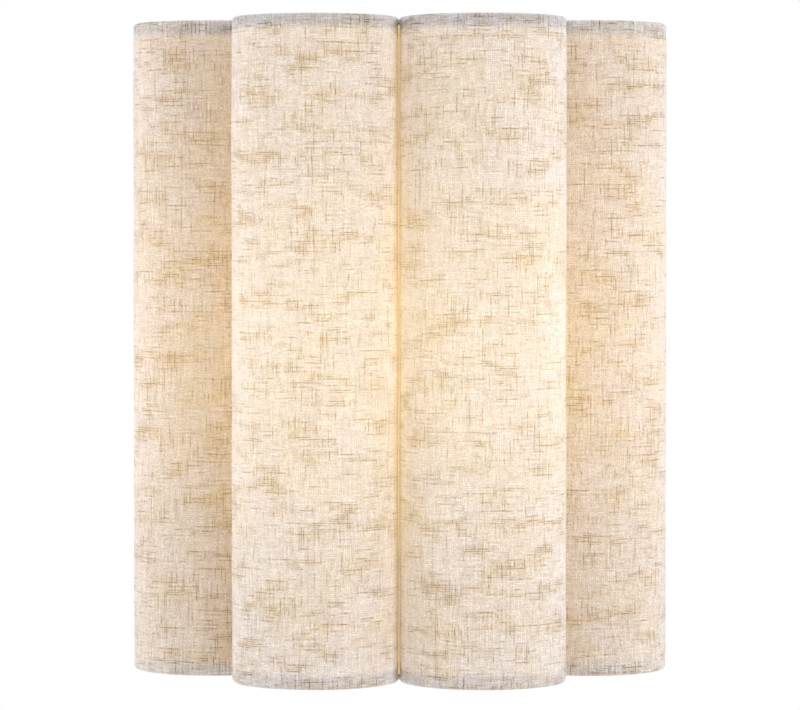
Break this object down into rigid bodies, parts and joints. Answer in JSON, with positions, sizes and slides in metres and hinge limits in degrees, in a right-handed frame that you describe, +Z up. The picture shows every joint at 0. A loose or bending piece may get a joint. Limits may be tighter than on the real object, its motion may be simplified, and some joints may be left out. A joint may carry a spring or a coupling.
{
  "type": "fabric shade wall light",
  "caption": "Half-round wall light with an upright linen shade of touching scalloped lobes, open above and below, over lampholders on a steel backplate.",
  "frame": {"origin": "centre of the two slots in the wall bracket, on the wall plane", "axes": "+Z up, front towards -Y, wall plane at y = 0 with the wall on the +Y side, +X to the right seen from the front"},
  "size_m": [0.2726, 0.1331, 0.33],
  "materials": {
    "linen": "slubbed linen weave, lit from behind",
    "binding": "woven seam binding",
    "liner": "white styrene sheet",
    "frame_wire": "white powder coat on steel wire and bar",
    "brass_hardware": "turned and satin finished",
    "zinc_steel": "zinc plated",
    "backplate_paint": "white powder coat",
    "ground_screw": "green passivated",
    "phenolic": "moulded phenolic",
    "shell_brass": "rolled sheet",
    "cap_nickel": "rolled sheet",
    "tip_solder": "solder over brass",
    "bulb_neck": "moulded",
    "led_board": "white solder mask",
    "live_lead": "extruded insulation",
    "neutral_lead": "extruded insulation",
    "ground_lead": "bare drawn copper",
    "wire_nut": "moulded",
    "grommet": "moulded",
    "bulb_dome": "frosted diffuser"
  },
  "bodies": {
    "wall_base": {"arm_screws": "zinc_steel", "backplate": "backplate_paint", "bracket_studs": "zinc_steel", "cap_nuts": "brass_hardware", "centre_contact_left": "shell_brass", "centre_contact_right": "shell_brass", "ground_lead": "ground_lead", "ground_screw": "ground_screw", "lamp_arm_left": "backplate_paint", "lamp_arm_right": "backplate_paint", "lampholder_left": "phenolic", "lampholder_right": "phenolic", "lead_grommets": "grommet", "live_lead_left": "live_lead", "live_lead_right": "live_lead", "lock_nut_left": "zinc_steel", "lock_nut_right": "zinc_steel", "neutral_lead_left": "neutral_lead", "neutral_lead_right": "neutral_lead", "screw_shell_left": "shell_brass", "screw_shell_right": "shell_brass", "threaded_inserts": "zinc_steel", "threaded_nipple_left": "zinc_steel", "threaded_nipple_right": "zinc_steel", "wall_bracket": "zinc_steel", "wire_nuts": "wire_nut"},
    "shade": {"back_upright_left": "frame_wire", "back_upright_right": "frame_wire", "bottom_ring": "frame_wire", "cleft_stay_centre": "frame_wire", "cleft_stay_left": "frame_wire", "cleft_stay_right": "frame_wire", "cross_bar_lower": "frame_wire", "cross_bar_upper": "frame_wire", "linen_front_left": "linen", "linen_front_right": "linen", "linen_outer_left": "linen", "linen_outer_right": "linen", "liner_front_left": "liner", "liner_front_right": "liner", "liner_outer_left": "liner", "liner_outer_right": "liner", "seam_binding_centre": "binding", "seam_binding_left": "binding", "seam_binding_right": "binding", "top_ring": "frame_wire"},
    "upper_thumb_screw": {"screw_retainer_upper": "zinc_steel", "thumb_screw_upper": "brass_hardware"},
    "lower_thumb_screw": {"screw_retainer_lower": "zinc_steel", "thumb_screw_lower": "brass_hardware"},
    "left_bulb": {"bulb_cap_left": "cap_nickel", "bulb_dome_left": "bulb_dome", "bulb_neck_left": "bulb_neck", "bulb_tip_left": "tip_solder", "led_board_left": "led_board"},
    "right_bulb": {"bulb_cap_right": "cap_nickel", "bulb_dome_right": "bulb_dome", "bulb_neck_right": "bulb_neck", "bulb_tip_right": "tip_solder", "led_board_right": "led_board"}
  },
  "joints": [
    {"name": "shade_draw_off", "type": "slide", "parent": "wall_base", "child": "shade", "axis": [0, -1, 0], "range_m": [0, 0.14]},
    {"name": "upper_thumb_turn", "type": "hinge", "parent": "shade", "child": "upper_thumb_screw", "pos_m": [0, -0.0185, 0.1], "axis": [0, -1, 0], "continuous": true},
    {"name": "lower_thumb_turn", "type": "hinge", "parent": "shade", "child": "lower_thumb_screw", "pos_m": [0, -0.0185, -0.1], "axis": [0, -1, 0], "continuous": true},
    {"name": "left_bulb_lift", "type": "slide", "parent": "wall_base", "child": "left_bulb", "axis": [0, 0, 1], "range_m": [0, 0.03]},
    {"name": "right_bulb_lift", "type": "slide", "parent": "wall_base", "child": "right_bulb", "axis": [0, 0, 1], "range_m": [0, 0.03]}
  ]
}
